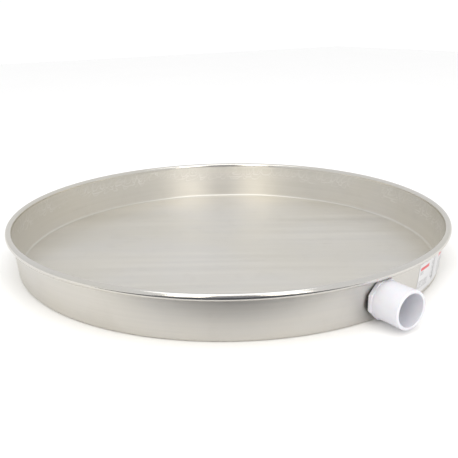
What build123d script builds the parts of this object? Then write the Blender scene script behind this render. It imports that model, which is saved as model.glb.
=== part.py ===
from build123d import *
import os
from math import cos, radians, sin, tan

# Water heater drain pan, millimetres.
# Origin at the centre of the underside, +Z up, +X along the drain outlet.

# ---- pan sheet
sheet = 1.0                 # thickness of the spun aluminium sheet
rim_radius = 330.2          # outside of the rolled rim, 26 in across
pan_height = 64.5           # underside to top of the rim, 2-1/2 in deep inside
wall_lean = 5.75            # degrees the wall slopes outwards from upright
corner_radius = 4.5         # outside radius between floor and wall
bead_radius = 4.6           # outside radius of the rolled rim tube
curl_turn = 305.0           # how far the rim sheet is rolled round, degrees

# ---- drain outlet
outlet_height = 29.3        # outlet axis above the underside
wall_hole_radius = 17.2     # hole through the pan wall
hole_cut_depth = 14.0       # cut from the flange face inwards
shank_radius = 16.65        # threaded shank through the wall, 1 in pipe size
shank_end = 298.5           # inner end of the shank
passage_radius = 13.0       # water way through the shank
flange_face = 321.5         # inner face of the octagonal flange
flange_thickness = 5.5
flange_across_flats = 48.4
spigot_radius = 24.13       # 1-1/2 in pipe size, 48.26 across
spigot_end = 365.4          # mouth of the outlet
socket_radius = 20.45       # 1-1/2 in pipe bore, 40.9 across
socket_bottom = 332.0
cone_start = 326.5          # passage widens from here to the socket
shank_chamfer = 1.2
mouth_round = 0.9
mouth_chamfer = 0.6

# ---- sealing and clamping
gasket_radius = 23.2
gasket_reach = 8.0          # blank is cut this deep, then trimmed to the wall
gasket_clearance = 0.15     # between the gaskets and the shank
washer_cut_radius = 300.0
cut_top = 56.0              # top of the cones that shape the gaskets
washer_radius = 22.0
nut_face = 312.8            # clamping face of the locknut
nut_thickness = 8.0
nut_across_flats = 46.0
nut_bore_radius = 16.75
nut_chamfer = 1.2

# ---- product label
label_start = 13.9          # degrees round from the outlet
label_sweep = 23.0
label_bottom = 8.0
label_top = 49.5
label_film = 0.15

os.makedirs("parts", exist_ok=True)


# Rolled rim: the middle of the sheet follows a circle that the wall runs into.
bead_centre_r = rim_radius - bead_radius
bead_centre_z = pan_height - bead_radius
bead_mid = bead_radius - sheet / 2
curl_start = 180.0 - wall_lean
bead_join = (
    bead_centre_r + bead_mid * cos(radians(curl_start)),
    bead_centre_z + bead_mid * sin(radians(curl_start)),
)

# Wall: draft, and the sheet thickness measured level across the sloping wall.
wall_draft = tan(radians(wall_lean))
sheet_across = sheet / cos(radians(wall_lean))


def wall_middle(height):
    """Radius of the middle of the sheet at a height on the wall."""
    return bead_join[0] - wall_draft * (bead_join[1] - height)


def wall_outer(height):
    """Outer wall radius at a height on the wall."""
    return wall_middle(height) + sheet_across / 2


# ---- pan: one sheet from the floor to the end of the rolled rim
with BuildPart() as pan:
    with BuildSketch(Plane.XZ):
        with BuildLine():
            FilletPolyline(
                (0, sheet / 2),
                (wall_middle(sheet / 2), sheet / 2),
                bead_join,
                radius=corner_radius - sheet / 2,
            )
            CenterArc((bead_centre_r, bead_centre_z), bead_mid, curl_start, -curl_turn)
        trace(line_width=sheet)
    revolve(axis=Axis.Z)
    with BuildSketch(Plane.YZ.offset(flange_face)):
        with Locations((0, outlet_height)):
            Circle(wall_hole_radius)
    extrude(amount=-hole_cut_depth, mode=Mode.SUBTRACT)
pan.part.label = "pan"
export_step(pan.part, "parts/pan.step")

# ---- drain adapter: shank, octagonal flange and spigot in one moulding
outlet_plane = Plane(origin=(0, 0, outlet_height), x_dir=(1, 0, 0), z_dir=(0, -1, 0))
outlet_axis = Axis((0, 0, outlet_height), (1, 0, 0))
with BuildPart() as drain_adapter:
    with BuildSketch(outlet_plane):
        with BuildLine():
            Polyline(
                (shank_end, passage_radius),
                (shank_end, shank_radius - shank_chamfer),
                (shank_end + shank_chamfer, shank_radius),
                (flange_face + flange_thickness / 2, shank_radius),
                (flange_face + flange_thickness / 2, spigot_radius),
                (spigot_end, spigot_radius),
                (spigot_end, socket_radius),
                (socket_bottom, socket_radius),
                (cone_start, passage_radius),
                (shank_end, passage_radius),
            )
        make_face()
    revolve(axis=outlet_axis)
    with BuildSketch(Plane.YZ.offset(flange_face)):
        with Locations((0, outlet_height)):
            RegularPolygon(flange_across_flats / 2, 8, major_radius=False, rotation=22.5)
            Circle(shank_radius - 1, mode=Mode.SUBTRACT)
    extrude(amount=flange_thickness)
    mouth = drain_adapter.faces().filter_by(Axis.X).sort_by(Axis.X)[-1]
    fillet(mouth.outer_wire().edges(), radius=mouth_round)
    chamfer(mouth.inner_wires()[0].edges(), length=mouth_chamfer)
drain_adapter.part.label = "drain_adapter"
export_step(drain_adapter.part, "parts/drain_adapter.step")

# ---- outer gasket: fills the gap between the flat flange and the round wall
with BuildPart() as outer_gasket:
    with BuildSketch(Plane.YZ.offset(flange_face)):
        with Locations((0, outlet_height)):
            Circle(gasket_radius)
            Circle(shank_radius + gasket_clearance, mode=Mode.SUBTRACT)
    extrude(amount=-gasket_reach)
    with BuildSketch(Plane.XZ):
        with BuildLine():
            Polyline(
                (0, 0),
                (wall_outer(0), 0),
                (wall_outer(cut_top), cut_top),
                (0, cut_top),
                (0, 0),
            )
        make_face()
    revolve(axis=Axis.Z, mode=Mode.SUBTRACT)
outer_gasket.part.label = "outer_gasket"
export_step(outer_gasket.part, "parts/outer_gasket.step")

# ---- inner washer: between the round wall and the flat locknut
with BuildPart() as inner_washer:
    with BuildSketch(Plane.XZ):
        with BuildLine():
            Polyline(
                (washer_cut_radius, 0),
                (wall_outer(0) - sheet_across, 0),
                (wall_outer(cut_top) - sheet_across, cut_top),
                (washer_cut_radius, cut_top),
                (washer_cut_radius, 0),
            )
        make_face()
    revolve(axis=Axis.Z)
    with BuildSketch(Plane.YZ.offset(nut_face)):
        with Locations((0, outlet_height)):
            Circle(washer_radius)
            Circle(shank_radius + gasket_clearance, mode=Mode.SUBTRACT)
    extrude(amount=gasket_reach, mode=Mode.INTERSECT)
inner_washer.part.label = "inner_washer"
export_step(inner_washer.part, "parts/inner_washer.step")

# ---- locknut on the shank inside the pan
with BuildPart() as locknut:
    with BuildSketch(Plane.YZ.offset(nut_face)):
        with Locations((0, outlet_height)):
            RegularPolygon(nut_across_flats / 2, 6, major_radius=False, rotation=30)
    extrude(amount=-nut_thickness)
    chamfer(locknut.edges().filter_by(Axis.X), length=nut_chamfer)
    with Locations(Plane.YZ.offset(nut_face)):
        with Locations((0, outlet_height)):
            Hole(nut_bore_radius)
locknut.part.label = "locknut"
export_step(locknut.part, "parts/locknut.step")

# ---- product label: thin film wrapped on the outer wall
with BuildPart() as product_label:
    with BuildSketch(Plane.XZ.rotated((0, 0, label_start))):
        with BuildLine():
            Polyline(
                (wall_outer(label_bottom), label_bottom),
                (wall_outer(label_bottom) + label_film, label_bottom),
                (wall_outer(label_top) + label_film, label_top),
                (wall_outer(label_top), label_top),
                (wall_outer(label_bottom), label_bottom),
            )
        make_face()
    revolve(axis=Axis.Z, revolution_arc=label_sweep)
product_label.part.label = "product_label"
export_step(product_label.part, "parts/product_label.step")
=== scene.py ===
import math
import random

import bmesh
import bpy
from mathutils import Matrix, Vector


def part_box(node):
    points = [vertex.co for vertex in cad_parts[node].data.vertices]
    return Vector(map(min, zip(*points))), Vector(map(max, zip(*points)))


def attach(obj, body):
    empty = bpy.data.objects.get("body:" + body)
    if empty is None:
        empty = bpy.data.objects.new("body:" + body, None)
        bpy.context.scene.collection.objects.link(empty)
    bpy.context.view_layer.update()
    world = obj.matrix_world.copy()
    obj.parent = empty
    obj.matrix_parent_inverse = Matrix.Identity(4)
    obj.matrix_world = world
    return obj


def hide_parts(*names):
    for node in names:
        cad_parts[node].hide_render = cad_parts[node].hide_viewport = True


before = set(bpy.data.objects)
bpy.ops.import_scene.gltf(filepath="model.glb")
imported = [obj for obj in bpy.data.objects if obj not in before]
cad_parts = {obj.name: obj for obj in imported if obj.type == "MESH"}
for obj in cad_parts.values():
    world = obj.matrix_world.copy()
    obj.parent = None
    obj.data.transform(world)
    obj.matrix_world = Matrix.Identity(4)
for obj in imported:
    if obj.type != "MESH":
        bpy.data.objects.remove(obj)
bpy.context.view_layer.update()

# ---------------------------------------------------------------- sizes, metres
MM = 0.001
HALF_TURN = math.pi / 2
FULL_TURN = 2 * math.pi
_, pan_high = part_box("pan")
adapter_low, adapter_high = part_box("drain_adapter")
nut_low, nut_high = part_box("locknut")
label_low, label_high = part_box("product_label")

# pan: spun sheet with a rolled rim
RIM_R = 330.2 * MM
RIM_Z = pan_high.z
SHEET = 1.0 * MM
BEAD_R = 4.6 * MM
CORNER_R = 4.5 * MM
WALL_LEAN = 5.75                      # degrees from upright
CURL_START = 180.0 - WALL_LEAN
CURL_TURN = 305.0
FLOOR_R = 309.0 * MM                  # edge of the flat floor
FLOOR_TOP = 3.0 * MM                  # nothing of the wall is seen below this
BEAD_C = (RIM_R - BEAD_R, RIM_Z - BEAD_R)
BEAD_MID = BEAD_R - SHEET / 2
BEAD_JOIN = (BEAD_C[0] + BEAD_MID * math.cos(math.radians(CURL_START)),
             BEAD_C[1] + BEAD_MID * math.sin(math.radians(CURL_START)))
WALL_DRAFT = math.tan(math.radians(WALL_LEAN))
ACROSS = SHEET / math.cos(math.radians(WALL_LEAN))

# outlet fitting and what clamps it
OUT_Z = (adapter_low.z + adapter_high.z) / 2
HOLE_R = 17.2 * MM
FLANGE_FACE = 321.5 * MM
FLANGE_BACK = 327.0 * MM
FLANGE_FLAT_R = 24.2 * MM
SHANK_R = 16.65 * MM
PASSAGE_R = 13.0 * MM
SOCKET_R = 20.45 * MM
BARREL_R = 24.13 * MM
NUT_FACE = 312.8 * MM
NUT_BORE_R = 16.75 * MM
GASKET_R = 23.2 * MM
WASHER_R = 22.0 * MM
RUBBER_BORE_R = 16.8 * MM

# label; width and height in millimetres
LABEL_START = math.radians(13.9)
LABEL_SWEEP = math.radians(23.0)
LABEL_FILM = 0.15 * MM
LABEL_CORNER = 2.0
LABEL_H = (label_high.z - label_low.z) / MM

PHOTO_TURN = math.radians(-34.3)      # direction of the camera seen from above, from +X
TURN_COS, TURN_SIN = math.cos(PHOTO_TURN), math.sin(PHOTO_TURN)


def wall_middle(z):
    return BEAD_JOIN[0] - WALL_DRAFT * (BEAD_JOIN[1] - z)


def wall_outer(z):
    return wall_middle(z) + ACROSS / 2


LABEL_W = LABEL_SWEEP * wall_outer(29.0 * MM) / MM


# ---------------------------------------------------------------- mesh helpers
def make_object(bm, name, node, material, sharp_angle):
    """Turn a bmesh into a smooth shaded object that stands for one CAD node."""
    mesh = bpy.data.meshes.new(name + "_mesh")
    bm.to_mesh(mesh)
    bm.free()
    for face in mesh.polygons:
        face.use_smooth = True
    mesh.set_sharp_from_angle(angle=math.radians(sharp_angle))
    mesh.materials.append(material)
    ob = bpy.data.objects.new(name, mesh)
    bpy.context.scene.collection.objects.link(ob)
    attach(ob, "root")
    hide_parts(node)
    return ob


def arc(centre, radius, start, end, steps):
    """Points on an arc, angles in degrees."""
    out = []
    for i in range(steps + 1):
        a = math.radians(start + (end - start) * i / steps)
        out.append((centre[0] + radius * math.cos(a), centre[1] + radius * math.sin(a)))
    return out


def line(p, q, steps):
    return [(p[0] + (q[0] - p[0]) * i / steps, p[1] + (q[1] - p[1]) * i / steps)
            for i in range(steps + 1)]


def joined(*runs):
    """One list of points from several runs, without doubled ends."""
    out = []
    for run in runs:
        for p in run:
            if not out or math.dist(out[-1], p) > 1e-6:
                out.append(p)
    return out


# ---------------------------------------------------------------- pan
def middle_line():
    """Middle of the sheet, as (radius, height), from the floor's centre to the end of the rim."""
    bend = CORNER_R - SHEET / 2
    turn = 90.0 - WALL_LEAN
    bend_start = (wall_middle(SHEET / 2) - bend * math.tan(math.radians(turn / 2)), SHEET / 2)
    near_centre, near_edge = (4.0 * MM, SHEET / 2), (300.0 * MM, SHEET / 2)
    floor = line(near_centre, near_edge, 26) + line(near_edge, bend_start, 4)
    corner = arc((bend_start[0], bend_start[1] + bend), bend, -90, turn - 90, 8)
    wall = line(corner[-1], BEAD_JOIN, 32)
    bead = arc(BEAD_C, BEAD_MID, CURL_START, CURL_START - CURL_TURN, 34)
    return joined(floor, corner, wall, bead)


def sheet_outline():
    """Both faces of the sheet: out along the inside of the pan and back along the outside."""
    mid = middle_line()
    inner, outer = [], []
    for i, (r, z) in enumerate(mid):
        before, after = mid[max(0, i - 1)], mid[min(len(mid) - 1, i + 1)]
        along_r, along_z = after[0] - before[0], after[1] - before[1]
        half = SHEET / 2 / math.hypot(along_r, along_z)
        inner.append((r - along_z * half, z + along_r * half))
        outer.append((r + along_z * half, z - along_r * half))
    return inner + outer[::-1]


rnd = random.Random(7)
WAVES = [(rnd.uniform(0, 6.28), rnd.choice([2, 3, 5, 7, 11])) for _ in range(6)]


def uneven(r, z, th):
    """Slight unevenness of a spun sheet, never past the nominal size."""
    wave = sum(math.sin(count * th + phase) for phase, count in WAVES) / len(WAVES)
    if r < FLOOR_R and z < FLOOR_TOP:
        bow = math.cos(r / FLOOR_R * HALF_TURN)
        calm = min(1, r / 0.16) ** 2         # no unevenness round the very centre
        ripple = math.sin(r * 41 + 1.4 * math.sin(th + 0.5)) * math.sin(2 * th + r * 9)
        edge = min(1, (FLOOR_R - r) / 0.06)
        return r, z + 0.35 * MM * bow * (1 + 0.5 * wave * calm) + 0.06 * MM * (1 + ripple * calm) * edge
    up = min(1, max(0, (z - 36.0 * MM) / (18.0 * MM)))
    up = up * up * (3 - 2 * up)
    belly = 0.08 * MM * math.sin(min(1, z / (50.0 * MM)) * math.pi)
    inwards = (1 + wave) * (belly + 0.12 * MM * up)
    return r - inwards, z - 0.05 * MM * up * (1 + math.sin(3 * th + 1.1))


def lathe(outline, segs):
    bm = bmesh.new()
    rows = []
    for r, z in outline:
        row = []
        for j in range(segs):
            th = FULL_TURN * j / segs
            rr, zz = uneven(r, z, th)
            row.append(bm.verts.new((rr * math.cos(th), rr * math.sin(th), zz)))
        rows.append(row)
    top = bm.verts.new((0, 0, rows[0][0].co.z))
    bottom = bm.verts.new((0, 0, rows[-1][0].co.z))
    for row, following in zip(rows, rows[1:]):
        for j in range(segs):
            k = (j + 1) % segs
            bm.faces.new((row[j], row[k], following[k], following[j]))
    for j in range(segs):
        k = (j + 1) % segs
        bm.faces.new((top, rows[0][k], rows[0][j]))
        bm.faces.new((bottom, rows[-1][j], rows[-1][k]))
    return bm


def cut_outlet_hole(bm):
    """Faces inside the circle go, and the ragged edge is pulled onto it and joined through."""
    hole = Vector((0, OUT_Z))

    def from_axis(v):
        return (Vector((v.co.y, v.co.z)) - hole).length

    gone = [f for f in bm.faces if f.calc_center_median().x > 0.3
            and any(from_axis(v) < HOLE_R for v in f.verts)]
    bmesh.ops.delete(bm, geom=gone, context="FACES")
    edges = [e for e in bm.edges if len(e.link_faces) == 1]
    for v in {v for e in edges for v in e.verts}:
        on_circle = (Vector((v.co.y, v.co.z)) - hole).normalized() * HOLE_R + hole
        r = math.hypot(v.co.x, v.co.y) + WALL_DRAFT * (on_circle.y - v.co.z)
        v.co = Vector((math.sqrt(r ** 2 - on_circle.x ** 2), on_circle.x, on_circle.y))
    bmesh.ops.bridge_loops(bm, edges=edges)
    bmesh.ops.remove_doubles(bm, verts=bm.verts[:], dist=1e-7)
    bmesh.ops.recalc_face_normals(bm, faces=bm.faces[:])


def map_grain(bm):
    """UV map whose u runs across the grain, so that the gloss spreads across it."""
    uv = bm.loops.layers.uv.new("grain")
    for f in bm.faces:
        c = f.calc_center_median()
        face_turn = math.atan2(c.y, c.x)
        flat = math.hypot(c.x, c.y) < FLOOR_R + 0.5 * MM and c.z < FLOOR_TOP
        for loop in f.loops:
            p = loop.vert.co
            if flat:
                loop[uv].uv = ((p.x * TURN_COS + p.y * TURN_SIN) / 0.7 + 0.5,
                               (-p.x * TURN_SIN + p.y * TURN_COS) / 0.7 + 0.5)
                continue
            th = math.atan2(p.y, p.x)
            if th - face_turn > math.pi:
                th -= FULL_TURN
            if face_turn - th > math.pi:
                th += FULL_TURN
            loop[uv].uv = (p.z * 3 + (math.hypot(p.x, p.y) - 0.31) * 3, th / math.pi)


def build_pan(material):
    bm = lathe(sheet_outline(), 480)
    cut_outlet_hole(bm)
    map_grain(bm)
    make_object(bm, "pan_sheet", "pan", material, 50)


# ---------------------------------------------------------------- outlet and what clamps it
# A station is a function of the angle about the outlet axis that gives (x, radius).
def ring(x, r):
    return lambda a: (x, r)


def polygon(x, flat, sides, corner):
    """Regular polygon with softened corners; one flat faces +Y."""
    step = FULL_TURN / sides

    def station(a):
        off_flat = (a + step / 2) % step - step / 2
        return x, min(flat / math.cos(off_flat), flat / math.cos(step / 2) - corner)
    return station


def thread(x, start, end, pitch, depth):
    """Outside thread of the shank, fading in at its tip and out before the flange."""
    def station(a):
        phase = ((x - start) / pitch - a / FULL_TURN) % 1.0
        cut = min(1, max(0, 1.25 * abs(2 * phase - 1) - 0.12))
        fade = min(1, (end - x) / (1.5 * MM)) * min(1, 0.35 + (x - start) / (3.0 * MM))
        return x, SHANK_R - depth * cut * fade
    return station


def barrel_ring(x, r):
    """Barrel with the faint mould parting line on both sides."""
    def station(a):
        off_line = min(a % math.pi, math.pi - a % math.pi)
        return x, r + 0.06 * MM * math.exp(-(off_line / 0.03) ** 2)
    return station


def sweep_stations(stations, segs):
    """Closed tube of faces: each station joins the following one, and the last joins the first."""
    bm = bmesh.new()
    rows = []
    for station in stations:
        row = []
        for j in range(segs):
            a = FULL_TURN * (j + 0.5) / segs
            x, r = station(a)
            row.append(bm.verts.new((x, r * math.cos(a), OUT_Z + r * math.sin(a))))
        rows.append(row)
    for row, following in zip(rows, rows[1:] + rows[:1]):
        for j in range(segs):
            k = (j + 1) % segs
            bm.faces.new((row[j], row[k], following[k], following[j]))
    bmesh.ops.remove_doubles(bm, verts=bm.verts[:], dist=1e-7)
    bmesh.ops.recalc_face_normals(bm, faces=bm.faces[:])
    return bm


def quarter(steps):
    """Angles from 0 to a quarter turn."""
    return [HALF_TURN * k / steps for k in range(steps + 1)]


def shank_stations(tip):
    start, end, steps = tip + 0.6 * MM, FLANGE_FACE - 1.2 * MM, 110
    pitch, depth = 2.2 * MM, 1.1 * MM
    st = [ring(tip, PASSAGE_R + 0.4 * MM), ring(tip, SHANK_R - 1.4 * MM)]
    st += [ring(tip + 0.3 * MM, SHANK_R - 1.2 * MM)]
    for i in range(steps + 1):
        st.append(thread(start + (end - start) * i / steps, start, end, pitch, depth))
    return st


def flange_stations():
    edge, corner = 0.45 * MM, 0.25 * MM
    st = [ring(FLANGE_FACE, SHANK_R - 0.1 * MM), ring(FLANGE_FACE, 23.5 * MM)]
    for q in quarter(4):
        flat = FLANGE_FLAT_R - edge * (1 - math.sin(q))
        st.append(polygon(FLANGE_FACE + edge * (1 - math.cos(q)), flat, 8, corner))
    for q in reversed(quarter(4)):
        flat = FLANGE_FLAT_R - edge * (1 - math.sin(q))
        st.append(polygon(FLANGE_BACK - edge * (1 - math.cos(q)), flat, 8, corner))
    return st


def barrel_stations(mouth):
    lip, soft = 1.1 * MM, 0.7 * MM
    start, end = FLANGE_BACK + 0.6 * MM, mouth - 1.2 * MM
    st = [ring(FLANGE_BACK, BARREL_R - 0.4 * MM), barrel_ring(FLANGE_BACK + 0.3 * MM, BARREL_R - 0.12 * MM)]
    st += [barrel_ring(start + (end - start) * i / 11, BARREL_R - 0.06 * MM) for i in range(12)]
    for q in quarter(7)[1:]:
        st.append(ring(mouth - lip * (1 - math.sin(q)), BARREL_R - lip * (1 - math.cos(q))))
    for q in quarter(6):
        st.append(ring(mouth - soft * (1 - math.cos(q)), SOCKET_R + soft * (1 - math.sin(q))))
    return st


def bore_stations(mouth, tip):
    cone_end = 326.2 * MM
    st = [ring(mouth - 2.5 * MM - 29.0 * MM * i / 10, SOCKET_R - 0.12 * MM * i / 10) for i in range(11)]
    st += [ring(332.0 * MM, SOCKET_R - 0.4 * MM), ring(331.6 * MM, SOCKET_R - 1.1 * MM)]
    st += [ring(327.0 * MM, PASSAGE_R + 0.4 * MM), ring(cone_end, PASSAGE_R)]
    st += [ring(cone_end - (cone_end - tip - 0.4 * MM) * i / 10, PASSAGE_R) for i in range(1, 11)]
    return st


def build_adapter(material):
    tip, mouth = adapter_low.x, adapter_high.x
    stations = shank_stations(tip) + flange_stations() + barrel_stations(mouth) + bore_stations(mouth, tip)
    make_object(sweep_stations(stations, 192), "outlet_adapter", "drain_adapter", material, 28)


def build_nut(material):
    x0, x1 = nut_low.x, nut_high.x
    flat_r = (nut_high.y - nut_low.y) / 2
    chamfer_r, seat_r, relief = 23.6 * MM, 19.5 * MM, 0.6 * MM

    def hexagon(x, inset, rounding):
        side = polygon(x, flat_r - inset, 6, 1.0 * MM)

        def station(a):
            r = side(a)[1]
            return x, r + (min(r, chamfer_r) - r) * rounding
        return station

    st = [ring(x0, NUT_BORE_R + relief), ring(x0, seat_r)]
    st += [hexagon(x0, 1.0 * MM, 1.0), hexagon(x0 + 0.3 * MM, 0.3 * MM, 0.7)]
    st += [hexagon(x0 + 1.4 * MM, 0, 0.25), hexagon(x0 + 2.6 * MM, 0, 0.0)]
    st += [hexagon(x0 + 2.6 * MM + (x1 - x0 - 4.4 * MM) * i / 4, 0, 0) for i in range(1, 5)]
    st += [hexagon(x1 - 0.9 * MM, 0, 0.1), hexagon(x1 - 0.3 * MM, 0.3 * MM, 0.4), hexagon(x1, 0.8 * MM, 0.8)]
    st += [ring(x1, seat_r), ring(x1, NUT_BORE_R + relief), ring(x1 - relief, NUT_BORE_R)]
    ridges = 30
    for i in range(1, ridges + 1):
        groove = 0.5 * MM * (i % 2)
        st.append(ring(x1 - relief - (x1 - x0 - 2 * relief) * i / ridges, NUT_BORE_R + groove))
    make_object(sweep_stations(st, 192), "locknut_inside", "locknut", material, 30)


def build_rubber_ring(name, node, flat_x, radius, outside, material):
    """Rubber ring, one face flat on the moulding and the other on the round wall."""
    towards_flat = 1 if outside else -1
    touch = 0.03 * MM
    rounding = 0.3 * MM

    def wall_x(a, r):
        y, z = r * math.cos(a), OUT_Z + r * math.sin(a)
        wall_r = wall_outer(z) - (0 if outside else ACROSS)
        return math.sqrt(wall_r * wall_r - y * y)

    def on_wall(r):
        return lambda a: (wall_x(a, r) + towards_flat * touch, r)

    def side(f):
        near_flat = flat_x - towards_flat * 0.08 * MM
        near_wall = towards_flat * 0.05 * MM
        bulge = radius - rounding + rounding * math.sin(math.pi * f)
        return lambda a: (near_flat + (wall_x(a, radius) + near_wall - near_flat) * f, bulge)

    st = [ring(flat_x, RUBBER_BORE_R), ring(flat_x, radius - 0.5 * MM)]
    st += [ring(flat_x - towards_flat * 0.05 * MM, radius - 0.1 * MM)]
    st += [side(i / 6) for i in range(7)]
    st += [on_wall(radius - 0.6 * MM), on_wall((radius + RUBBER_BORE_R) / 2), on_wall(RUBBER_BORE_R)]
    make_object(sweep_stations(st, 128), name, node, material, 40)


# ---------------------------------------------------------------- label
def round_corner(u, v):
    """Pull a point of the label's rectangle, in millimetres, inside its rounded corners."""
    cu = min(max(u, LABEL_CORNER), LABEL_W - LABEL_CORNER)
    cv = min(max(v, LABEL_CORNER), LABEL_H - LABEL_CORNER)
    d = math.hypot(u - cu, v - cv)
    if d <= LABEL_CORNER:
        return u, v
    return cu + (u - cu) * LABEL_CORNER / d, cv + (v - cv) * LABEL_CORNER / d


def build_label(material):
    """Film wrapped on the outer wall, thinner along its edge."""
    nu, nv = 96, 20
    gap = 0.01 * MM
    bm = bmesh.new()
    uv = bm.loops.layers.uv.new("print")
    front, back = [], []
    for j in range(nv + 1):
        front_row, back_row = [], []
        for i in range(nu + 1):
            u, v = i / nu * LABEL_W, j / nv * LABEL_H
            s, t = round_corner(u, v)
            th = LABEL_START + LABEL_SWEEP * s / LABEL_W
            z = label_low.z + (label_high.z - label_low.z) * t / LABEL_H
            from_edge = min(u, LABEL_W - u, v, LABEL_H - v)
            lift = LABEL_FILM * (0.75 + 0.25 * min(1, from_edge / 1.2))
            for row, r in ((front_row, wall_outer(z) + lift - gap), (back_row, wall_outer(z) + gap)):
                row.append(bm.verts.new((r * math.cos(th), r * math.sin(th), z)))
        front.append(front_row)
        back.append(back_row)

    def quad(verts, uvs):
        face = bm.faces.new(verts)
        for loop, place in zip(face.loops, uvs):
            loop[uv].uv = place

    for j in range(nv):
        for i in range(nu):
            u0, u1, v0, v1 = i / nu, (i + 1) / nu, j / nv, (j + 1) / nv
            corners = [(u0, v0), (u1, v0), (u1, v1), (u0, v1)]
            quad((front[j][i], front[j][i + 1], front[j + 1][i + 1], front[j + 1][i]), corners)
            quad((back[j + 1][i], back[j + 1][i + 1], back[j][i + 1], back[j][i]), corners[::-1])
    blank = [(0.001, 0.001)] * 4
    for i in range(nu):
        quad((front[0][i + 1], front[0][i], back[0][i], back[0][i + 1]), blank)
        quad((front[nv][i], front[nv][i + 1], back[nv][i + 1], back[nv][i]), blank)
    for j in range(nv):
        quad((front[j][0], front[j + 1][0], back[j + 1][0], back[j][0]), blank)
        quad((front[j + 1][nu], front[j][nu], back[j][nu], back[j + 1][nu]), blank)
    bmesh.ops.recalc_face_normals(bm, faces=bm.faces[:])
    make_object(bm, "label_film", "product_label", material, 40)


# ---------------------------------------------------------------- materials
class Nodes:
    """One material and short names for the nodes that it is built from."""

    def __init__(self, name):
        self.mat = bpy.data.materials.new(name)
        self.mat.use_nodes = True
        self.tree = self.mat.node_tree
        self.tree.nodes.clear()
        output = self.tree.nodes.new("ShaderNodeOutputMaterial")
        self.bsdf = self.tree.nodes.new("ShaderNodeBsdfPrincipled")
        self.tree.links.new(self.bsdf.outputs[0], output.inputs["Surface"])

    def put(self, value, socket):
        if isinstance(value, bpy.types.NodeSocket):
            self.tree.links.new(value, socket)
        elif value is not None:
            socket.default_value = value

    def set(self, **inputs):
        for key, value in inputs.items():
            self.put(value, self.bsdf.inputs[key.replace("_", " ")])

    def math(self, operation, *values):
        node = self.tree.nodes.new("ShaderNodeMath")
        node.operation = operation
        for value, socket in zip(values, node.inputs):
            self.put(value, socket)
        return node.outputs[0]

    def add(self, a, b):
        return self.math("ADD", a, b)

    def sub(self, a, b):
        return self.math("SUBTRACT", a, b)

    def mul(self, *values):
        out = values[0]
        for value in values[1:]:
            out = self.math("MULTIPLY", out, value)
        return out

    def highest(self, *values):
        out = values[0]
        for value in values[1:]:
            out = self.math("MAXIMUM", out, value)
        return out

    def length(self, a, b):
        return self.math("SQRT", self.math("MULTIPLY_ADD", a, a, self.mul(b, b)))

    def step(self, value, low, high, before=0.0, after=1.0):
        """Smooth step from before to after as the value goes from low to high."""
        node = self.tree.nodes.new("ShaderNodeMapRange")
        node.interpolation_type = "SMOOTHSTEP"
        self.put(value, node.inputs["Value"])
        for key, number in (("From Min", low), ("From Max", high), ("To Min", before), ("To Max", after)):
            self.put(number, node.inputs[key])
        return node.outputs[0]

    def below(self, value, low, high):
        return self.step(value, low, high, 1.0, 0.0)

    def noise(self, vector, scale=1.0, detail=2.0, roughness=0.5, distortion=0.0):
        node = self.tree.nodes.new("ShaderNodeTexNoise")
        self.put(vector, node.inputs["Vector"])
        node.inputs["Scale"].default_value = scale
        node.inputs["Detail"].default_value = detail
        node.inputs["Roughness"].default_value = roughness
        node.inputs["Distortion"].default_value = distortion
        return node.outputs[0]

    def split(self, vector):
        node = self.tree.nodes.new("ShaderNodeSeparateXYZ")
        self.put(vector, node.inputs[0])
        return node.outputs

    def join(self, *values):
        node = self.tree.nodes.new("ShaderNodeCombineXYZ")
        for value, socket in zip(values, node.inputs):
            self.put(value, socket)
        return node.outputs[0]

    def place(self):
        return self.tree.nodes.new("ShaderNodeTexCoord").outputs["Object"]

    def mix(self, factor, a, b):
        """Blend of two colours."""
        node = self.tree.nodes.new("ShaderNodeMix")
        node.data_type = "RGBA"
        self.put(factor, node.inputs[0])
        for colour, socket in ((a, node.inputs[6]), (b, node.inputs[7])):
            self.put(colour if isinstance(colour, bpy.types.NodeSocket) else (*colour, 1.0), socket)
        return node.outputs[2]

    def blend(self, factor, a, b):
        """Blend of two numbers."""
        node = self.tree.nodes.new("ShaderNodeMix")
        self.put(factor, node.inputs[0])
        self.put(a, node.inputs[2])
        self.put(b, node.inputs[3])
        return node.outputs[0]

    def bump(self, height, strength, distance, normal=None):
        node = self.tree.nodes.new("ShaderNodeBump")
        node.inputs["Strength"].default_value = strength
        node.inputs["Distance"].default_value = distance
        self.put(height, node.inputs["Height"])
        self.put(normal, node.inputs["Normal"])
        return node.outputs[0]


METAL_WARM = (0.76, 0.735, 0.675)
METAL_COOL = (0.75, 0.735, 0.705)
METAL_DULL = (0.61, 0.585, 0.54)
METAL_PALE = (0.83, 0.805, 0.76)
METAL_MARK = (0.93, 0.915, 0.885)
ROUGH_FLOOR = 0.40
ROUGH_WALL = 0.41
ROUGH_BEAD = 0.17
# looping rub marks: spacing, shift, lowest point and height, millimetres
RUB_LOOPS = ((23.0, 0.0, 34.0, 22.0), (37.0, 11.0, 38.0, 18.0), (15.0, 4.0, 43.0, 12.0))


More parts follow.
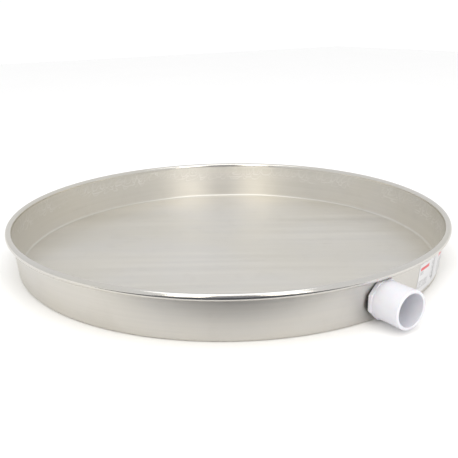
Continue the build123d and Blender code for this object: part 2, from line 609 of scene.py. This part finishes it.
def rub_marks(m, x, y, z, r, is_bead):
    """Looping rub marks in patches, high on the inside of the wall."""
    th = m.math("ARCTAN2", y, x)
    round_mm = m.add(m.mul(th, 317.0), m.mul(z, 450.0))      # slanted
    height_mm = m.mul(z, 1000.0)
    wobble = m.mul(m.noise(m.join(m.mul(th, 9.0), m.mul(z, 30.0), 0.0)), 2.6)
    loops = []
    for spacing, shift, low, tall in RUB_LOOPS:
        turns = m.add(m.math("DIVIDE", m.add(round_mm, shift), spacing), wobble)
        across = m.math("ABSOLUTE", m.sub(m.mul(m.math("FRACT", turns), 2.0), 1.0))
        curve = m.add(low, m.mul(m.math("POWER", across, 3.0), tall))
        loops.append(m.below(m.math("ABSOLUTE", m.sub(height_mm, curve)), 0.5, 1.7))
    patches = m.step(m.noise(m.join(m.mul(th, 4.0), m.mul(z, 20.0), 5.0)), 0.36, 0.56)
    past_middle = m.sub(r, m.math("MULTIPLY_ADD", z, WALL_DRAFT, wall_middle(0.0)))
    inside = m.mul(m.below(past_middle, -0.3 * MM, 0.3 * MM), m.step(z, 24.0 * MM, 40.0 * MM))
    inside = m.mul(inside, m.sub(1.0, is_bead))
    return m.mul(m.highest(*loops), patches, inside)


def spun_aluminium():
    m = Nodes("spun_aluminium")
    p = m.place()
    x, y, z = m.split(p)
    r = m.math("SQRT", m.add(m.mul(x, x), m.mul(y, y)))
    across = m.add(m.mul(x, TURN_COS), m.mul(y, TURN_SIN))      # across the rolling grain
    along = m.add(m.mul(x, -TURN_SIN), m.mul(y, TURN_COS))      # along it
    is_wall = m.highest(m.step(r, 309.5 * MM, 312.5 * MM), m.step(z, 2.5 * MM, 4.0 * MM))
    from_bead = m.length(m.sub(r, BEAD_C[0]), m.sub(z, BEAD_C[1]))
    is_bead = m.below(from_bead, BEAD_R + 0.15 * MM, BEAD_R + 0.7 * MM)
    # rolling grain of the floor and turning lines of the wall
    roll = m.noise(m.join(m.mul(along, 6.0), m.mul(across, 900.0), 0.0), 1.0, 3.0, 0.7)
    roll_wide = m.noise(m.join(m.mul(along, 2.2), m.mul(across, 60.0), 3.0), 1.0, 3.0, 0.6)
    turned = m.noise(m.join(m.mul(x, 9.0), m.mul(y, 9.0), m.mul(z, 2200.0)), 1.0, 3.0, 0.7)
    turned_wide = m.noise(m.join(m.mul(x, 5.0), m.mul(y, 5.0), m.mul(z, 240.0)), 1.0, 3.0, 0.6)
    fine = m.blend(is_wall, roll, turned)
    wide = m.blend(is_wall, roll_wide, turned_wide)
    cloud = m.noise(p, 5.0, 3.0, 0.55)
    smudge = m.noise(p, 22.0, 4.0, 0.6, 0.4)
    marks = rub_marks(m, x, y, z, r, is_bead)
    # short rub marks on the floor, along the grain
    scratch = m.noise(m.join(m.mul(along, 28.0), m.mul(across, 420.0), 9.0), 1.0, 1.0)
    scratch = m.mul(m.step(scratch, 0.70, 0.78), m.sub(1.0, is_wall))
    # colour
    base = m.mix(m.step(cloud, 0.35, 0.68), METAL_WARM, METAL_COOL)
    base = m.mix(m.mul(m.step(smudge, 0.52, 0.72), 0.16), base, METAL_DULL)
    base = m.mix(m.mul(m.step(wide, 0.35, 0.70), 0.34), base, METAL_PALE)
    base = m.mix(m.mul(marks, 0.60), base, METAL_MARK)
    base = m.mix(m.mul(scratch, 0.35), base, METAL_DULL)
    # gloss
    rough = m.blend(is_bead, m.blend(is_wall, ROUGH_FLOOR, ROUGH_WALL), ROUGH_BEAD)
    for pattern, amount in ((cloud, 0.10), (wide, 0.22), (fine, 0.06)):
        rough = m.add(rough, m.mul(m.sub(pattern, 0.5), amount))
    rough = m.add(rough, m.mul(marks, 0.12))
    normal = m.bump(fine, 0.35, 0.04 * MM)
    normal = m.bump(wide, 0.25, 0.25 * MM, normal)
    normal = m.bump(marks, 0.5, 0.25 * MM, normal)
    tangent = m.tree.nodes.new("ShaderNodeTangent")
    tangent.direction_type = "UV_MAP"
    tangent.uv_map = "grain"
    m.set(Base_Color=base, Roughness=rough, Normal=normal, Tangent=tangent.outputs[0])
    m.set(Metallic=1.0, Anisotropic=0.6)
    return m.mat


def pvc(name, tint, pale):
    m = Nodes(name)
    p = m.place()
    cloud = m.noise(p, 28.0, 3.0, 0.6)
    flow = m.noise(p, 120.0, 2.0, 0.5, 0.8)
    grit = m.noise(p, 900.0)
    dirt = m.step(m.noise(p, 60.0, 4.0, 0.7), 0.60, 0.74)
    base = m.mix(m.step(cloud, 0.3, 0.7), tint, pale)
    base = m.mix(m.mul(dirt, 0.10), base, (0.55, 0.53, 0.50))
    normal = m.bump(flow, 0.12, 0.4 * MM)
    normal = m.bump(grit, 0.10, 0.08 * MM, normal)
    m.set(Base_Color=base, Roughness=m.add(0.30, m.mul(flow, 0.14)), Normal=normal, IOR=1.52)
    m.set(Subsurface_Weight=0.12, Subsurface_Scale=2.0 * MM)
    return m.mat


def rubber(name):
    m = Nodes(name)
    p = m.place()
    cloud = m.noise(p, 90.0, 3.0, 0.6)
    grit = m.noise(p, 1500.0, 2.0, 0.6)
    base = m.mix(cloud, (0.018, 0.018, 0.019), (0.045, 0.044, 0.042))
    rough = m.add(0.55, m.mul(cloud, 0.25))
    m.set(Base_Color=base, Roughness=rough, Normal=m.bump(grit, 0.25, 0.1 * MM), IOR=1.5)
    return m.mat


def printed_label():
    """White film with generic print: grey rules, black bars and plain red bars."""
    m = Nodes("label_print")
    uv_map = m.tree.nodes.new("ShaderNodeUVMap")
    uv_map.uv_map = "print"
    u, v, _ = m.split(uv_map.outputs[0])
    s = m.mul(u, LABEL_W)                                        # along the label, mm
    t = m.add(m.mul(v, LABEL_H), label_low.z / MM)               # height above the floor, mm
    soft = 0.12

    def band(value, low, high):
        return m.mul(m.step(value, low - soft, low + soft), m.below(value, high - soft, high + soft))

    def box(s0, s1, t0, t1):
        return m.mul(band(s, s0, s1), band(t, t0, t1))

    def rules(s0, s1, t0, t1, pitch, thick, seed):
        """Rules broken at uneven places."""
        count = m.math("DIVIDE", m.sub(t, t0), pitch)
        rows = m.below(m.math("FRACT", count), thick, thick + 0.12)
        gaps = m.noise(m.join(m.mul(s, 0.55), m.mul(m.math("FLOOR", count), 7.3), seed), 1.0, 1.0)
        return m.mul(rows, m.step(gaps, 0.40, 0.46), box(s0, s1, t0, t1))

    def bars(s0, s1, t0, t1, scale, seed):
        """Bars of uneven width, one above another."""
        pattern = m.noise(m.join(m.mul(t, scale), seed, 0.0), 1.0, 0.0)
        return m.mul(m.step(pattern, 0.49, 0.52), box(s0, s1, t0, t1))

    grey = m.highest(rules(3.5, 14.0, 34.0, 38.2, 1.7, 0.45, 2.0),
                     rules(2.5, 31.0, 15.5, 25.5, 2.2, 0.42, 5.0),
                     rules(72.0, 120.0, 14.0, 34.0, 2.6, 0.40, 8.0),
                     rules(40.0, 44.0, 20.0, 44.0, 2.4, 0.5, 11.0))
    black = m.highest(bars(46.0, 53.5, 15.0, 46.0, 1.3, 1.0), box(58.0, 58.5, 14.0, 46.0))
    red = m.highest(box(4.0, 30.0, 39.6, 44.0), box(73.0, 96.0, 38.5, 43.5))
    base = m.mix(m.noise(m.place(), 35.0, 3.0), (0.64, 0.64, 0.66), (0.70, 0.70, 0.71))
    base = m.mix(m.mul(grey, 0.75), base, (0.22, 0.22, 0.23))
    base = m.mix(m.mul(black, 0.85), base, (0.03, 0.03, 0.03))
    base = m.mix(m.mul(red, 0.9), base, (0.66, 0.035, 0.05))
    rough = m.sub(0.42, m.mul(m.highest(grey, black, red), 0.08))
    fibre = m.noise(m.place(), 500.0)
    m.set(Base_Color=base, Roughness=rough, Normal=m.bump(fibre, 0.05, 0.05 * MM), IOR=1.48)
    return m.mat


def matt(name, colour, rough):
    m = Nodes(name)
    shade = m.mix(m.noise(m.place(), 3.0), colour, tuple(c * 0.985 for c in colour))
    m.set(Base_Color=shade, Roughness=rough)
    return m.mat


build_pan(spun_aluminium())
build_adapter(pvc("pvc_white", (0.66, 0.665, 0.72), (0.70, 0.70, 0.74)))
build_nut(pvc("pvc_nut", (0.66, 0.66, 0.67), (0.70, 0.70, 0.70)))
build_rubber_ring("gasket_outside", "outer_gasket", FLANGE_FACE, GASKET_R, True,
                  rubber("gasket_rubber"))
build_rubber_ring("washer_inside", "inner_washer", NUT_FACE, WASHER_R, False,
                  rubber("washer_rubber"))
build_label(printed_label())

# ---------------------------------------------------------------- stage and light
WORLD_LEVEL = 1.04
WORLD_LEVEL_IN_GLOSS = 0.77
scene = bpy.context.scene


def stage_point(side, front, up):
    """Point given by distances to the camera's right, towards the camera, and up."""
    return Vector((front * TURN_COS - side * TURN_SIN, front * TURN_SIN + side * TURN_COS, up))


def pale_floor():
    below_pan = -0.2 * MM
    bpy.ops.mesh.primitive_grid_add(x_subdivisions=8, y_subdivisions=8, size=9.0, location=(0, 0, below_pan))
    ground = bpy.context.object
    ground.name = "stage_floor"
    ground.data.materials.append(matt("stage_white", (0.97, 0.97, 0.97), 0.7))


def studio_world():
    """White surroundings, a little darker in reflections."""
    world = bpy.data.worlds.new("studio")
    world.use_nodes = True
    tree = world.node_tree
    background = tree.nodes["Background"]
    background.inputs["Color"].default_value = (1.0, 1.0, 1.0, 1.0)
    path = tree.nodes.new("ShaderNodeLightPath")
    level = tree.nodes.new("ShaderNodeMath")
    level.operation = "MULTIPLY_ADD"
    tree.links.new(path.outputs["Is Glossy Ray"], level.inputs[0])
    level.inputs[1].default_value = WORLD_LEVEL_IN_GLOSS - WORLD_LEVEL
    level.inputs[2].default_value = WORLD_LEVEL
    tree.links.new(level.outputs[0], background.inputs["Strength"])
    scene.world = world


def soft_light(name, at, size, power, colour=(1, 1, 1)):
    """Rectangular lamp aimed at the centre of the pan."""
    lamp = bpy.data.lights.new(name, "AREA")
    lamp.shape = "RECTANGLE"
    lamp.size, lamp.size_y = size
    lamp.energy = power
    lamp.color = colour
    ob = bpy.data.objects.new(name, lamp)
    scene.collection.objects.link(ob)
    ob.location = at
    ob.rotation_mode = "QUATERNION"
    ob.rotation_quaternion = (-at).to_track_quat("-Z", "Y")


def card(name, at, size, rotation, tone):
    """Flat card seen only in reflections."""
    bpy.ops.mesh.primitive_grid_add(x_subdivisions=2, y_subdivisions=2, size=1.0)
    ob = bpy.context.object
    ob.name = name
    ob.location = at
    ob.scale = (size[0], size[1], 1.0)
    ob.rotation_mode = "QUATERNION"
    ob.rotation_quaternion = rotation
    ob.visible_camera = False
    ob.visible_diffuse = False
    ob.visible_shadow = False
    ob.data.materials.append(matt(name + "_tone", tone, 0.9))


pale_floor()
studio_world()
scene.view_settings.view_transform = "Standard"
scene.view_settings.look = "None"
soft_light("overhead", stage_point(0.0, 0.35, 1.9), (1.6, 1.2), 7.0)
# two warm soft boxes either side of the camera, whose reflections make the pale columns
WARM_LIGHT = (1.0, 0.95, 0.84)
soft_light("box_right", stage_point(0.68, 1.42, 0.90), (0.50, 1.1), 5.0, WARM_LIGHT)
soft_light("box_left", stage_point(-0.50, 1.48, 0.90), (0.50, 1.1), 5.0, WARM_LIGHT)
# dark and grey cards, whose reflections make the dark band under the rim
upright = (-stage_point(0, 1, 0)).to_track_quat("Z", "Y")
level = stage_point(0, 1, 0).to_track_quat("Y", "Z")
card("stage_flag_back", stage_point(0.0, 1.9, 0.80), (2.2, 2.0), upright, (0.20, 0.205, 0.225))
card("stage_flag_low", stage_point(0.06, 1.10, 0.001), (0.88, 1.46), level, (0.02, 0.024, 0.036))
card("stage_ground_card", stage_point(0.0, 0.6, -0.0001), (3.2, 3.2), level, (0.76, 0.755, 0.75))

# ---------------------------------------------------------------- camera
ELEVATION = math.radians(19.695)
DISTANCE = 3.173 * RIM_R
IMAGE_WIDTH = 458.0
FOCAL_LENGTH = 664.1                  # in widths of one image dot
SENSOR = 36.0
YAW, PITCH, ROLL = math.radians(-0.058), math.radians(-1.636), math.radians(-0.878)


def add_camera():
    """Camera aimed at the pan's centre, then turned by small yaw, pitch and roll angles."""
    towards = stage_point(0, math.cos(ELEVATION), math.sin(ELEVATION))
    forward = -towards
    right = forward.cross(Vector((0, 0, 1))).normalized()
    down = -(right.cross(forward))
    yaw = Matrix(((math.cos(YAW), 0, math.sin(YAW)), (0, 1, 0), (-math.sin(YAW), 0, math.cos(YAW))))
    pitch = Matrix(((1, 0, 0), (0, math.cos(PITCH), -math.sin(PITCH)), (0, math.sin(PITCH), math.cos(PITCH))))
    roll = Matrix(((math.cos(ROLL), -math.sin(ROLL), 0), (math.sin(ROLL), math.cos(ROLL), 0), (0, 0, 1)))
    axes = roll @ pitch @ yaw @ Matrix((right, down, forward))
    data = bpy.data.cameras.new("camera")
    data.sensor_width = SENSOR
    data.lens = FOCAL_LENGTH / IMAGE_WIDTH * SENSOR
    cam = bpy.data.objects.new("camera", data)
    scene.collection.objects.link(cam)
    facing = Matrix((axes[0], -axes[1], -axes[2])).transposed().to_4x4()
    cam.matrix_world = Matrix.Translation(towards * DISTANCE) @ facing
    scene.camera = cam


add_camera()
bpy.context.view_layer.update()
